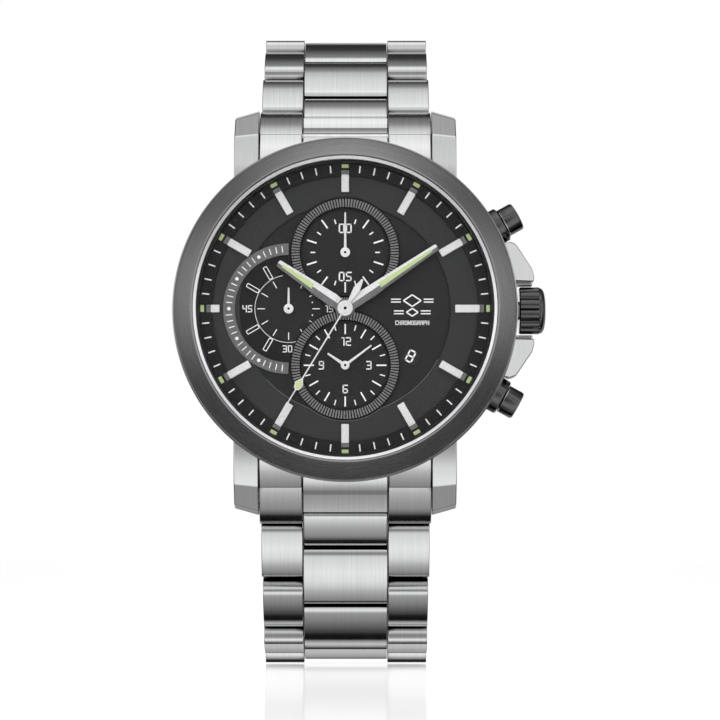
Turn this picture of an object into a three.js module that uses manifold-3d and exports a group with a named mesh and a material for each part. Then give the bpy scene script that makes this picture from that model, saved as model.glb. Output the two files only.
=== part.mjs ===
// A chronograph wristwatch with a steel link bracelet, closed on its folding clasp.
// Millimetres. +X points to the crown, +Z to twelve o'clock, and the dial faces -Y.
// The origin is the middle of the case back's outer face, on the axis of the hands.
import * as THREE from 'three';
import { mergeVertices } from 'three/addons/utils/BufferGeometryUtils.js';
import Module from 'manifold-3d';

const wasm = await Module();
wasm.setup();

// ---- driving dimensions -------------------------------------------------------------------
// Case. Depths are Y values: the case back lies at 0 and the crystal at about -12.
const CASE_R = 21.6;
const CASE_BORE_R = 17.05;
const CASE_FRONT = -8.7;
const CASE_REAR = -1.3;
const DIAL_SEAT_R = 19.1;
const DIAL_SEAT = -8.3;
const BEZEL_R = 22.0;
const BEZEL_TOP = -12.3;
const BEZEL_BORE_R = 19.5;
const CRYSTAL_R = 19.0;
const CRYSTAL_FRONT = -12.1;
const CRYSTAL_REAR = -10.75;
const CASE_BACK_R = 18.4;

// Dial side.
const DIAL_R = 18.95;
const DIAL_FACE = -9.0;
const DIAL_REAR = -8.4;
const COUNTER_OFFSET = 7.25;
const COUNTER_RING_IN = 5.67;
const COUNTER_RING_OUT = 7.0;
const LEFT_RING_IN = 6.9;
const LEFT_RING_OUT = 8.4;
const MARKER_HEIGHT = 0.5;
const HAND_HOLE_R = 0.95;
const DATE_WINDOW_RADIUS = 10.4;
const DATE_WINDOW_CLOCK = 126;

// Hands: clock angle in degrees, clockwise from twelve.
const HOUR_CLOCK = 304.2;
const MINUTE_CLOCK = 56.2;
const SECONDS_CLOCK = 211.2;
const SMALL_HOUR_CLOCK = 304;
const SMALL_MINUTE_CLOCK = 53;

// Movement.
const PLATE_R = 15.4;
const PLATE_FRONT = -7.9;
const PLATE_REAR = -2.6;

// Crown and pushers, on axes at this depth.
const STEM_DEPTH = -5.0;
const CROWN_R = 3.05;
const CROWN_START = 22.4;
const CROWN_END = 25.9;
const CROWN_FLUTES = 14;
const PUSHER_ANGLE = 29;
const PUSHER_CAP_R = 1.85;

// Lugs and the spring bars between them.
const LUG_GAP_HALF = 11.2;
const LUG_OUTER = 14.3;
const BAR_DEPTH = -2.33;
const BAR_Z = 22.66;
const BAR_R = 0.75;

// Bracelet link: s runs along the link away from the head, n points out of the bracelet.
const PITCH = 8.15;
const LINK_TOP_EDGE = 1.5;
const LINK_TOP_MIDDLE = 1.75;
const LINK_BOTTOM = -1.6;
const SIDE_IN = 5.6;
const SIDE_OUT = 10.85;
const CENTRE_HALF = 5.5;
const SIDE_HEAD_R = 2.2;
const SIDE_TAIL_R = 2.3;
const CENTRE_HEAD_R = 1.8;
const CENTRE_TAIL_R = 1.7;
const TAB_R = 3.5;
const TAB_CLEARANCE_R = 3.62;
const PIN_R = 0.5;
const PIN_HOLE_R = 0.6;
// How far each link leans back from the plane of the dial, in degrees, from the head outwards.
const LOWER_TILTS = [38, 22, 46, 76, 111.091, 129.588, 148.086];
const UPPER_TILTS = [55, 47, 62, 90, 119.82, 143.792, 167.764];

// Folding clasp.
const BLADE_HALF = 7.6;
const FOLD_HINGE = [38.3, 9.0];
const COVER_HINGE = [39.2, -22.5];
const COVER_FACE = 41.5;
const COVER_INNER = 40.4;
const COVER_WALL_IN = 9.75;
const COVER_EAR_R = 1.15;

// How finely round things are divided.
const LARGE_ROUND = 48;
const MEDIUM_ROUND = 32;
const SMALL_ROUND = 16;
const TINY_ROUND = 12;
const ARC_STEPS = 4;

// ---- geometry helpers ---------------------------------------------------------------------
const rad = THREE.MathUtils.degToRad;

// A manifold solid from a three.js geometry.
function solid(geometry) {
  geometry.deleteAttribute('normal');
  geometry.deleteAttribute('uv');
  const merged = mergeVertices(geometry, 1e-4);
  const index = Array.from(merged.index.array);
  const triangles = [];
  for (let i = 0; i < index.length; i += 3) {
    const [a, b, c] = index.slice(i, i + 3);
    if (a !== b && b !== c && c !== a) triangles.push(a, b, c);
  }
  return new wasm.Manifold(new wasm.Mesh({
    numProp: 3,
    vertProperties: new Float32Array(merged.attributes.position.array),
    triVerts: new Uint32Array(triangles),
  }));
}

// A three.js geometry from a manifold solid.
function geometryOf(body) {
  const mesh = body.getMesh();
  const geometry = new THREE.BufferGeometry();
  geometry.setAttribute('position', new THREE.BufferAttribute(new Float32Array(mesh.vertProperties), 3));
  geometry.setIndex(Array.from(mesh.triVerts));
  geometry.computeVertexNormals();
  return geometry;
}

const join = (bodies) => bodies.reduce((sum, body) => sum.add(body));
const cut = (body, tools) => tools.reduce((rest, tool) => rest.subtract(tool), body);

// A solid turned about the Y axis from a closed outline of [radius, y] points.
function turned(points, segments = LARGE_ROUND) {
  const closed = points.map(([r, y]) => new THREE.Vector2(r, y));
  if (THREE.ShapeUtils.area(closed) < 0) closed.reverse();
  closed.push(closed[0].clone());
  return solid(new THREE.LatheGeometry(closed, segments));
}

// A round bar about the Y axis.
const disc = (radius, from, to, segments) => turned([[0, from], [radius, from], [radius, to], [0, to]], segments);

// A ring about the Y axis.
const ring = (inner, outer, from, to, segments) =>
  turned([[inner, from], [outer, from], [outer, to], [inner, to]], segments);

// An outline in the plane of the dial, [x, z] points, filled between two depths.
function slab(points, front, rear) {
  const shape = new THREE.Shape(points.map(([x, z]) => new THREE.Vector2(x, z)));
  const geometry = new THREE.ExtrudeGeometry(shape, { depth: rear - front, bevelEnabled: false });
  geometry.rotateX(Math.PI / 2);
  geometry.translate(0, rear, 0);
  return solid(geometry);
}

// A side outline, [y, z] points, filled between two X values.
function prism(points, left, right) {
  const shape = new THREE.Shape(points.map(([y, z]) => new THREE.Vector2(y, z)));
  const geometry = new THREE.ExtrudeGeometry(shape, { depth: right - left, bevelEnabled: false });
  const axes = new THREE.Matrix4().makeBasis(
    new THREE.Vector3(0, 1, 0), new THREE.Vector3(0, 0, 1), new THREE.Vector3(1, 0, 0));
  geometry.applyMatrix4(axes);
  geometry.translate(left, 0, 0);
  return solid(geometry);
}

// A box between two corners.
function block(low, high) {
  const size = high.map((value, i) => value - low[i]);
  const geometry = new THREE.BoxGeometry(...size);
  geometry.translate(...low.map((value, i) => value + size[i] / 2));
  return solid(geometry);
}

// A round bar or a stepped shaft along +X: [x, radius] steps, centred on the given y and z.
function shaft(steps, y, z, segments = SMALL_ROUND) {
  const points = steps.map(([x, r]) => new THREE.Vector2(r, x));
  const outline = [new THREE.Vector2(0, points[0].y), ...points, new THREE.Vector2(0, points.at(-1).y)];
  const geometry = new THREE.LatheGeometry(outline, segments);
  geometry.rotateZ(-Math.PI / 2);
  geometry.translate(0, y, z);
  return solid(geometry);
}

// Points on an arc, angles in degrees.
function arc([cx, cy], radius, from, to, steps) {
  return Array.from({ length: steps + 1 }, (_, i) => {
    const angle = rad(from + (to - from) * i / steps);
    return [cx + radius * Math.cos(angle), cy + radius * Math.sin(angle)];
  });
}

// A point on the dial from its radius and clock angle.
const onDial = (radius, clock) => [radius * Math.sin(rad(clock)), radius * Math.cos(rad(clock))];

// ---- finishes -----------------------------------------------------------------------------
const finish = (color, roughness, metalness) => new THREE.MeshStandardMaterial({ color, roughness, metalness });
const steel = finish('#b9bbbd', 0.32, 1);
const blackSteel = finish('#2b2b2d', 0.35, 1);
const dialBlack = finish('#333436', 0.6, 0.2);
const ringGrey = finish('#8c8e91', 0.35, 0.9);
const handWhite = finish('#e8e9ea', 0.3, 0.8);
const dateBlack = finish('#161617', 0.5, 0);
const crystalGlass = new THREE.MeshStandardMaterial(
  { color: '#ffffff', roughness: 0.02, metalness: 0, transparent: true, opacity: 0.15 });
const nylon = finish('#e2e3e4', 0.4, 0);
const rubber = finish('#1a1a1b', 0.8, 0);
const brass = finish('#c9a35c', 0.35, 1);
const copper = finish('#b26a3c', 0.4, 1);
const plated = finish('#c9c6bd', 0.3, 1);

const watch = new THREE.Group();

// Adds a named mesh to the watch, or to a group inside it.
function piece(name, shape, material, parent = watch) {
  const mesh = new THREE.Mesh(geometryOf(shape), material);
  mesh.name = name;
  parent.add(mesh);
  return mesh;
}

// ---- case ---------------------------------------------------------------------------------
// One lug in side view; dir is +1 at twelve o'clock and -1 at six.
function lug(dir, side) {
  const outline = [
    [-8.1, 14.0], [-7.9, 19.0], [-7.0, 22.5], [-3.7, 25.4], [-1.6, 25.7],
    [-0.6, 24.7], [-0.5, 20.6], [-1.35, 17.6], [-1.35, 14.0],
  ].map(([y, z]) => [y, dir * z]);
  const [left, right] = side > 0 ? [LUG_GAP_HALF, LUG_OUTER] : [-LUG_OUTER, -LUG_GAP_HALF];
  return prism(outline, left, right);
}

// The shoulder that guards the crown on one side.
function crownGuard(dir) {
  const outline = [[18.5, 3.7], [24.1, 3.6], [23.8, 5.2], [21.5, 8.5], [20.3, 8.4], [18.0, 7.8]];
  return slab(outline.map(([x, z]) => [x, dir * z]), -7.7, -2.6);
}

function caseMiddle() {
  const body = turned([
    [CASE_BORE_R, DIAL_SEAT], [DIAL_SEAT_R, DIAL_SEAT], [DIAL_SEAT_R, CASE_FRONT], [CASE_R, CASE_FRONT],
    [CASE_R, -2.5], [20.4, CASE_REAR], [17.85, CASE_REAR], [17.85, -1.9], [CASE_BORE_R, -1.9],
  ]);
  const signs = [-1, 1];
  const lugs = signs.flatMap((dir) => signs.map((side) => lug(dir, side)));
  const barHoles = signs.flatMap((dir) => signs.map((side) => {
    const [from, to] = side > 0 ? [LUG_GAP_HALF - 1, 12.6] : [-12.6, 1 - LUG_GAP_HALF];
    return shaft([[from, BAR_R + 0.07], [to, BAR_R + 0.07]], BAR_DEPTH, dir * BAR_Z);
  }));
  const crownHole = shaft([[15.5, 1.3], [23, 1.3]], STEM_DEPTH, 0);
  const pusherHoles = signs.map((dir) => shaft([[15.5, 1.7], [23, 1.7]], STEM_DEPTH, 0)
    .rotate([0, -dir * PUSHER_ANGLE, 0]));
  const hingeSpaces = signs.map((dir) => shaft([[-11.1, SIDE_TAIL_R], [11.1, SIDE_TAIL_R]], BAR_DEPTH, dir * BAR_Z, 24));
  const shoulders = signs.map(crownGuard);
  return cut(join([cut(body, hingeSpaces), ...lugs, ...shoulders]), [...barHoles, crownHole, ...pusherHoles]);
}

piece('case_middle', caseMiddle(), steel);
piece('bezel', turned([
  [CRYSTAL_R + 0.02, -8.8], [BEZEL_R, -8.8], [BEZEL_R, -9.5], [BEZEL_BORE_R + 0.25, BEZEL_TOP],
  [BEZEL_BORE_R, BEZEL_TOP], [BEZEL_BORE_R, -10.7], [CRYSTAL_R + 0.02, -10.7],
]), blackSteel);
piece('crystal', turned([
  [0, CRYSTAL_FRONT], [CRYSTAL_R - 0.35, CRYSTAL_FRONT], [CRYSTAL_R, CRYSTAL_FRONT + 0.35],
  [CRYSTAL_R, CRYSTAL_REAR], [0, CRYSTAL_REAR],
]), crystalGlass);
piece('crystal_gasket', ring(CRYSTAL_R + 0.06, BEZEL_BORE_R - 0.06, -11.9, CRYSTAL_REAR), nylon);
piece('caseback', turned([
  [0, 0], [17.6, 0], [CASE_BACK_R, -0.5], [CASE_BACK_R, -1.15], [16.9, -1.15], [16.9, -2.3],
  [16.2, -2.3], [16.2, -1.15], [0, -1.15],
], MEDIUM_ROUND), steel);
piece('caseback_gasket', ring(17.1, 17.75, -1.8, -1.25, MEDIUM_ROUND), rubber);

// ---- dial ---------------------------------------------------------------------------------
// An applied hour marker; those beside a counter ring are shorter.
function hourMarker(clock) {
  const shortened = { 0: 15.0, 180: 14.6, 270: 16.0 };
  const [inner, outer] = [shortened[clock] ?? 14.1, 16.95];
  const bar = block([-0.5, DIAL_FACE - MARKER_HEIGHT, inner], [0.5, DIAL_FACE + 0.1, outer]);
  return bar.rotate([0, clock, 0]);
}

function dialPlate() {
  const plate = disc(DIAL_R, DIAL_FACE, DIAL_REAR);
  const markers = Array.from({ length: 12 }, (_, hour) => hourMarker(hour * 30));
  const handHoles = [[0, 0, HAND_HOLE_R], [0, COUNTER_OFFSET, 0.5], [0, -COUNTER_OFFSET, 0.55], [-COUNTER_OFFSET, 0, 0.5]]
    .map(([x, z, radius]) => disc(radius, DIAL_FACE - 1, DIAL_REAR + 1, SMALL_ROUND).translate([x, 0, z]));
  const window = block([-0.9, -10, DATE_WINDOW_RADIUS - 1.1], [0.9, -8, DATE_WINDOW_RADIUS + 1.1])
    .rotate([0, DATE_WINDOW_CLOCK, 0]);
  return cut(join([plate, ...markers]), [...handHoles, window]);
}

// The left counter's ring covers only its outer half.
function halfRing(inner, outer, front, rear) {
  return slab([...arc([0, 0], outer, 90, 270, 18), ...arc([0, 0], inner, 270, 90, 18)], front, rear);
}

piece('dial_plate', dialPlate(), dialBlack);
piece('chapter_ring', turned([
  [17.05, -9.6], [18.5, -9.6], [18.7, -10.65], [18.95, -10.65], [18.95, -9.05], [17.05, -9.05],
]), blackSteel);
// The upper and lower rings are relieved where they pass the hole for the centre hands.
function counterRing(z) {
  const body = ring(COUNTER_RING_IN, COUNTER_RING_OUT, DIAL_FACE - 0.45, DIAL_FACE - 0.05, MEDIUM_ROUND);
  return cut(body, [disc(HAND_HOLE_R, -12, -8, SMALL_ROUND).translate([0, 0, -z])]);
}
piece('counter_ring_top', counterRing(COUNTER_OFFSET), blackSteel).position.z = COUNTER_OFFSET;
piece('counter_ring_bottom', counterRing(-COUNTER_OFFSET), blackSteel).position.z = -COUNTER_OFFSET;
const leftRing = piece('counter_ring_left',
  halfRing(LEFT_RING_IN, LEFT_RING_OUT, DIAL_FACE - 0.35, DIAL_FACE - 0.05), ringGrey);
leftRing.position.x = -COUNTER_OFFSET;

// ---- movement -----------------------------------------------------------------------------
function mainPlate() {
  const plate = disc(PLATE_R, PLATE_FRONT, PLATE_REAR, MEDIUM_ROUND);
  const arborHoles = [[0, 0, HAND_HOLE_R], [0, COUNTER_OFFSET, 0.55], [0, -COUNTER_OFFSET, 0.6], [-COUNTER_OFFSET, 0, 0.55]]
    .map(([x, z, radius]) => disc(radius, PLATE_FRONT - 1, -6.2, SMALL_ROUND).translate([x, 0, z]));
  const batteryWell = disc(4.95, -4.8, PLATE_REAR + 1, MEDIUM_ROUND).translate([-6.2, 0, 5.2]);
  const coilWell = block([-5.6, -5.6, -11.2], [5.6, PLATE_REAR + 1, -7.8]);
  const slideWell = block([10.5, -5.9, -2.9], [14.7, PLATE_REAR + 1, 2.9]);
  const stemHole = shaft([[9.0, 0.62], [16, 0.62]], STEM_DEPTH, 0);
  return cut(plate, [...arborHoles, batteryWell, coilWell, slideWell, stemHole]);
}

function movementRing() {
  const body = ring(15.6, 16.95, -8.2, -2.5, MEDIUM_ROUND);
  const stemHole = shaft([[14, 0.8], [18, 0.8]], STEM_DEPTH, 0);
  const pusherHoles = [-1, 1].map((dir) => shaft([[14, 1.0], [18, 1.0]], STEM_DEPTH, 0)
    .rotate([0, -dir * PUSHER_ANGLE, 0]));
  return cut(body, [stemHole, ...pusherHoles]);
}

// A spool of wire between two cheeks.
const coil = () => shaft([
  [-5.2, 1.4], [-4.6, 1.4], [-4.6, 1.15], [4.6, 1.15], [4.6, 1.4], [5.2, 1.4],
], -4.0, -9.5);

piece('movement_ring', movementRing(), nylon);
piece('main_plate', mainPlate(), brass);
piece('battery', disc(4.75, -4.7, -2.5, MEDIUM_ROUND), plated).position.set(-6.2, 0, 5.2);
piece('motor_coil', coil(), copper);
piece('date_disc', ring(8.6, 12.3, -8.25, -8.05, MEDIUM_ROUND), dateBlack);

// The slide that the stem moves: a plate with two teeth that straddle the stem's neck.
function settingSlide() {
  const plate = block([11.0, -4.4, -2.4], [13.0, -3.7, 2.4]);
  const teeth = [-1, 1].map((side) => {
    const [low, high] = side > 0 ? [0.55, 1.1] : [-1.1, -0.55];
    return block([11.4, -5.5, low], [12.6, -4.3, high]);
  });
  return join([plate, ...teeth]);
}
piece('setting_slide', settingSlide(), steel);

// ---- hands --------------------------------------------------------------------------------
// A hand points to twelve: a blade, a hub and a hollow or solid arbor that reaches the movement.
function hand({ outline, front, rear, hub, arbor, bore, arborEnd, capFront }) {
  const parts = [
    slab(outline, front, rear),
    disc(hub, capFront ?? front, rear, SMALL_ROUND),
    disc(arbor, rear - 0.05, arborEnd, TINY_ROUND),
  ];
  const body = join(parts);
  return bore ? cut(body, [disc(bore, front - 1, arborEnd + 1, TINY_ROUND)]) : body;
}

const taper = (root, tip, length, tail) => [
  [-root, -tail], [root, -tail], [root, 0], [tip, length - 1.2], [0, length], [-tip, length - 1.2], [-root, 0],
];

const turnClockwise = (mesh, clock) => { mesh.rotation.y = rad(clock); };

turnClockwise(piece('hour_hand', hand({
  outline: taper(0.95, 0.5, 10.4, 0.6), front: -9.82, rear: -9.64,
  hub: 1.35, arbor: 0.72, bore: 0.5, arborEnd: -7.2,
}), handWhite), HOUR_CLOCK);
turnClockwise(piece('minute_hand', hand({
  outline: taper(0.9, 0.45, 14.2, 0.6), front: -10.14, rear: -9.96,
  hub: 1.2, arbor: 0.4, bore: 0.25, arborEnd: -6.9,
}), handWhite), MINUTE_CLOCK);
turnClockwise(piece('seconds_hand', hand({
  outline: [[-0.45, -4.2], [0.45, -4.2], [0.15, 0], [0.12, 15.1], [-0.12, 15.1], [-0.15, 0]],
  front: -10.42, rear: -10.28, hub: 0.95, arbor: 0.17, arborEnd: -6.6, capFront: -10.6,
}), handWhite), SECONDS_CLOCK);

const counterHand = (length) => hand({
  outline: [[-0.2, -1.2], [0.2, -1.2], [0.25, 0], [0.1, length], [-0.1, length], [-0.25, 0]],
  front: -9.34, rear: -9.2, hub: 0.63, arbor: 0.3, arborEnd: -6.8, capFront: -9.5,
});
piece('counter_hand_top', counterHand(5.1), handWhite).position.z = COUNTER_OFFSET;
piece('counter_hand_left', counterHand(2.7), handWhite).position.x = -COUNTER_OFFSET;

const smallHour = piece('small_hour_hand', hand({
  outline: [[-0.3, -0.4], [0.3, -0.4], [0.28, 0], [0.12, 2.7], [-0.12, 2.7], [-0.28, 0]],
  front: -9.24, rear: -9.12, hub: 0.62, arbor: 0.42, bore: 0.26, arborEnd: -6.9,
}), handWhite);
smallHour.position.z = -COUNTER_OFFSET;
turnClockwise(smallHour, SMALL_HOUR_CLOCK);
const smallMinute = piece('small_minute_hand', hand({
  outline: [[-0.2, -0.9], [0.2, -0.9], [0.24, 0], [0.1, 4.2], [-0.1, 4.2], [-0.24, 0]],
  front: -9.44, rear: -9.32, hub: 0.5, arbor: 0.18, arborEnd: -6.6, capFront: -9.56,
}), handWhite);
smallMinute.position.z = -COUNTER_OFFSET;
turnClockwise(smallMinute, SMALL_MINUTE_CLOCK);

// ---- crown and pushers --------------------------------------------------------------------
// The crown's grip: round flutes cut into its rim, a domed cap and a recess over the case tube.
function crown() {
  const samples = CROWN_FLUTES * 4;
  const outline = Array.from({ length: samples }, (_, i) => {
    const angle = 2 * Math.PI * i / samples;
    const radius = CROWN_R - 0.16 * (1 - Math.cos(CROWN_FLUTES * angle));
    return [STEM_DEPTH + radius * Math.cos(angle), radius * Math.sin(angle)];
  });
  const grip = prism(outline, CROWN_START, CROWN_END - 0.6);
  const cap = shaft([[CROWN_END - 0.7, 2.7], [CROWN_END - 0.2, 2.5], [CROWN_END, 1.6]], STEM_DEPTH, 0, 20);
  const recess = shaft([[CROWN_START - 1, 1.6], [24.4, 1.6]], STEM_DEPTH, 0);
  const socket = shaft([[24, 0.55], [25.2, 0.55]], STEM_DEPTH, 0);
  return cut(join([grip, cap]), [recess, socket]);
}

const tube = (outer, inner, from, to, segments = SMALL_ROUND) => cut(
  shaft([[from, outer], [to, outer]], STEM_DEPTH, 0, segments),
  [shaft([[from - 1, inner], [to + 1, inner]], STEM_DEPTH, 0, segments)]);

piece('crown', crown(), blackSteel);
piece('crown_stem', shaft([
  [10.0, 0.45], [11.2, 0.45], [11.2, 0.3], [12.8, 0.3], [12.8, 0.45], [25.1, 0.45],
], STEM_DEPTH, 0), steel);
piece('crown_tube', tube(1.2, 0.6, 17.3, 23.9), steel);
piece('crown_gasket', tube(1.52, 1.26, 22.55, 23.05), rubber);

// A pusher tube: a collar outside the case, a sleeve inside it and a wide bore for the spring.
function pusherTube() {
  const body = shaft([[17.3, 1.6], [21.75, 1.6], [21.75, 2.15], [22.95, 2.15], [23.1, 2.0]], STEM_DEPTH, 0, 20);
  const guide = shaft([[17, 0.8], [19.6, 0.8]], STEM_DEPTH, 0);
  const springWell = shaft([[19.5, 1.3], [24, 1.3]], STEM_DEPTH, 0);
  return cut(body, [guide, springWell]);
}

const pusher = () => shaft([
  [17.15, 0.7], [24.15, 0.7], [24.15, PUSHER_CAP_R], [25.6, PUSHER_CAP_R], [25.8, PUSHER_CAP_R - 0.2],
], STEM_DEPTH, 0, 20);

for (const [name, dir] of [['upper', 1], ['lower', -1]]) {
  const axis = new THREE.Group();
  axis.rotation.y = rad(-dir * PUSHER_ANGLE);
  watch.add(axis);
  piece(`pusher_tube_${name}`, pusherTube(), blackSteel, axis);
  piece(`pusher_${name}`, pusher(), blackSteel, axis);
  piece(`pusher_spring_${name}`, tube(1.2, 0.8, 19.7, 24.05), steel, axis);
}

// ---- bracelet -----------------------------------------------------------------------------
const degrees = (radians) => radians * 180 / Math.PI;
const angleAt = (height, radius) => degrees(Math.asin(height / radius));

// Points [s, n] across the slightly crowned top, from one s to another.
function crownedTop(from, to) {
  return [1 / 3, 2 / 3].map((t) => [
    from + (to - from) * t,
    LINK_TOP_EDGE + (LINK_TOP_MIDDLE - LINK_TOP_EDGE) * 4.5 * t * (1 - t),
  ]);
}

// A link outline: a round head about s = 0 or a hollow one, and a hollow or round tail about the next pivot.
function linkOutline(headR, headSide, tailR, tailSide) {
  const headTop = angleAt(LINK_TOP_EDGE, headR);
  const headBottom = angleAt(LINK_BOTTOM, headR);
  const tailTop = angleAt(LINK_TOP_EDGE, tailR);
  const tailBottom = angleAt(LINK_BOTTOM, tailR);
  const toAngle = (side, angle) => (side > 0 ? angle : 180 - angle);
  const head = arc([0, 0], headR, toAngle(headSide, headBottom), toAngle(headSide, headTop), ARC_STEPS);
  const tail = arc([PITCH, 0], tailR, toAngle(tailSide, tailTop), toAngle(tailSide, tailBottom), ARC_STEPS);
  return [...head, ...crownedTop(head.at(-1)[0], tail[0][0]), ...tail];
}

// [s, n] points as [y, z] points of a strap half: dir is +1 above the dial and -1 below it.
const place = (points, dir) => points.map(([s, n]) => [-n, dir * s]);

const mirrored = (makeSide) => [makeSide(SIDE_IN, SIDE_OUT), makeSide(-SIDE_OUT, -SIDE_IN)];

// One link: two side pieces, a centre piece set back by a third, the bridges that join them, and
// the pin pressed through the side pieces. The first link turns on the lugs' spring bar instead.
function link(dir, first) {
  const centreHeadR = first ? TAB_CLEARANCE_R : CENTRE_HEAD_R;
  const sideOutline = place(linkOutline(SIDE_HEAD_R, -1, SIDE_TAIL_R, -1), dir);
  const centreOutline = place(linkOutline(centreHeadR, 1, CENTRE_TAIL_R, 1), dir);
  const sides = mirrored((left, right) => prism(sideOutline, left, right));
  const centre = cut(prism(centreOutline, -CENTRE_HALF, CENTRE_HALF),
    [shaft([[-9, PIN_HOLE_R], [9, PIN_HOLE_R]], 0, dir * PITCH, TINY_ROUND)]);
  const [near, far] = [dir * (centreHeadR + 0.3), dir * 5.4];
  const bridges = mirrored((left, right) => block(
    [left > 0 ? 5.3 : -5.8, -1.0, Math.min(near, far)], [left > 0 ? 5.8 : -5.3, 1.0, Math.max(near, far)]));
  const body = join([...sides, centre, ...bridges]);
  if (first) return cut(body, [shaft([[-12, BAR_R + 0.08], [12, BAR_R + 0.08]], 0, 0)]);
  return body.add(shaft([[-9, PIN_R], [9, PIN_R]], 0, 0, TINY_ROUND));
}

// The end link fills the gap between the lugs and carries the tab that the first link hinges on.
function endLink(dir, tilt) {
  const blockOutline = [[-7.3, 18], [-6.7, 22.4], [-4.6, 23.1], [-1.2, 21.2], [-0.9, 18]];
  const filler = prism(blockOutline.map(([y, z]) => [y, dir * z]), -10.9, 10.9);
  const top = angleAt(LINK_TOP_EDGE, TAB_R);
  const bottom = angleAt(LINK_BOTTOM, TAB_R);
  const tabOutline = [[-1.4, LINK_BOTTOM], ...arc([0, 0], TAB_R, bottom, top, ARC_STEPS), [-1.4, LINK_TOP_EDGE]];
  const tab = prism(place(tabOutline, dir), -CENTRE_HALF, CENTRE_HALF)
    .rotate([-dir * tilt, 0, 0]).translate([0, BAR_DEPTH, dir * BAR_Z]);
  const hingeSpace = mirrored((left, right) => shaft(
    [[left > 0 ? SIDE_IN - 0.05 : -12, SIDE_TAIL_R], [left > 0 ? 12 : 0.05 - SIDE_IN, SIDE_TAIL_R]],
    BAR_DEPTH, dir * BAR_Z, 24));
  const barHole = shaft([[-9, BAR_R + 0.06], [9, BAR_R + 0.06]], BAR_DEPTH, dir * BAR_Z);
  const caseSpace = disc(BEZEL_R + 0.15, -14, 2);
  return cut(cut(filler, hingeSpace).add(tab), [barHole, caseSpace]);
}

// Hangs the seven links of one half on each other, each turned to its own tilt, and returns the last pivot.
function strapHalf(name, dir, tilts) {
  piece(`end_link_${name}`, endLink(dir, tilts[0]), steel);
  piece(`spring_bar_${name}`, shaft([
    [-12.5, 0.45], [-11.9, 0.45], [-11.9, BAR_R], [11.9, BAR_R], [11.9, 0.45], [12.5, 0.45],
  ], BAR_DEPTH, dir * BAR_Z), steel);
  const pivot = new THREE.Vector3(0, BAR_DEPTH, dir * BAR_Z);
  tilts.forEach((tilt, i) => {
    const mesh = piece(`link_${name}_${i + 1}`, link(dir, i === 0), steel);
    mesh.position.copy(pivot);
    mesh.rotation.x = rad(-dir * tilt);
    pivot.add(new THREE.Vector3(0, PITCH * Math.sin(rad(tilt)), dir * PITCH * Math.cos(rad(tilt))));
  });
  return pivot;
}

const lowerEnd = strapHalf('lower', -1, LOWER_TILTS);
const upperEnd = strapHalf('upper', 1, UPPER_TILTS);

// ---- folding clasp ------------------------------------------------------------------------
const barAlongX = (from, to, radius, [y, z], segments = SMALL_ROUND) => shaft([[from, radius], [to, radius]], y, z, segments);

// The inner blade carries a hinge block like a link's head for the last lower link.
function innerBlade() {
  const head = lowerEnd.toArray().slice(1);
  const cheekOutline = [
    ...arc(head, SIDE_HEAD_R, 317, 223, 5), [head[0] - 1.6, -25.3], [head[0] + 1.5, -25.3],
  ];
  const cheeks = mirrored((left, right) => prism(cheekOutline, left, right));
  const bridge = block([-SIDE_OUT, 36.6, -27.0], [SIDE_OUT, 38.9, -25.3]);
  const plate = block([-BLADE_HALF, 37.2, -26.0], [BLADE_HALF, 38.1, FOLD_HINGE[1] - 1.5]);
  const knuckles = [[4.9, 7.6], [-7.6, -4.9]].flatMap(([left, right]) => [
    block([left, 37.2, FOLD_HINGE[1] - 1.6], [right, 38.1, FOLD_HINGE[1]]),
    barAlongX(left, right, 1.0, FOLD_HINGE),
  ]);
  const body = join([...cheeks, bridge, plate, ...knuckles, barAlongX(-9, 9, PIN_R, head, TINY_ROUND)]);
  return cut(body, [barAlongX(-9, 9, PIN_R + 0.06, FOLD_HINGE)]);
}

// The outer blade folds back over the inner one and carries the cover's hinge at its other end.
function outerBlade() {
  const plate = block([-BLADE_HALF, 38.55, COVER_HINGE[1]], [BLADE_HALF, 39.45, FOLD_HINGE[1] - 1.5]);
  const tongue = block([-4.8, 38.55, FOLD_HINGE[1] - 1.6], [4.8, 39.25, FOLD_HINGE[1]]);
  const knuckles = [barAlongX(-4.8, 4.8, 1.0, FOLD_HINGE), barAlongX(-9.6, 9.6, 1.0, COVER_HINGE)];
  const holes = [FOLD_HINGE, COVER_HINGE].map((axis) => barAlongX(-11, 11, PIN_HOLE_R, axis));
  return cut(join([plate, tongue, ...knuckles]), holes);
}

// The cover: a plate with two side walls, ears at the hinge and ears that take the upper half's bar.
function claspCover() {
  const [barY, barZ] = upperEnd.toArray().slice(1);
  const plate = block([-SIDE_OUT, COVER_INNER, COVER_HINGE[1] + 0.4], [SIDE_OUT, COVER_FACE, 14.2]);
  const hingeEnd = arc(COVER_HINGE, 1.3, 180, 360, 8);
  const walls = [[COVER_WALL_IN, SIDE_OUT], [-SIDE_OUT, -COVER_WALL_IN]].map(([left, right]) => prism([
    ...hingeEnd, [COVER_INNER + 0.2, -22.0], [COVER_INNER + 0.2, 14.2], [37.5, 14.2], [37.5, -22.0],
  ], left, right));
  const earOutline = [...arc([barY, barZ], COVER_EAR_R, -10, 190, 8), [38.0, 13.2], [COVER_INNER + 0.3, 13.2]];
  const ears = mirrored((left, right) => prism(earOutline, left, right));
  const slots = [[9, 12], [-12, -9]].map(([left, right]) => block([left, 38.1, -1.1], [right, 39.9, 4.1]));
  const hole = barAlongX(-12, 12, PIN_R + 0.06, COVER_HINGE);
  return cut(join([plate, ...walls, ...ears]), [...slots, hole]);
}

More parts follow.
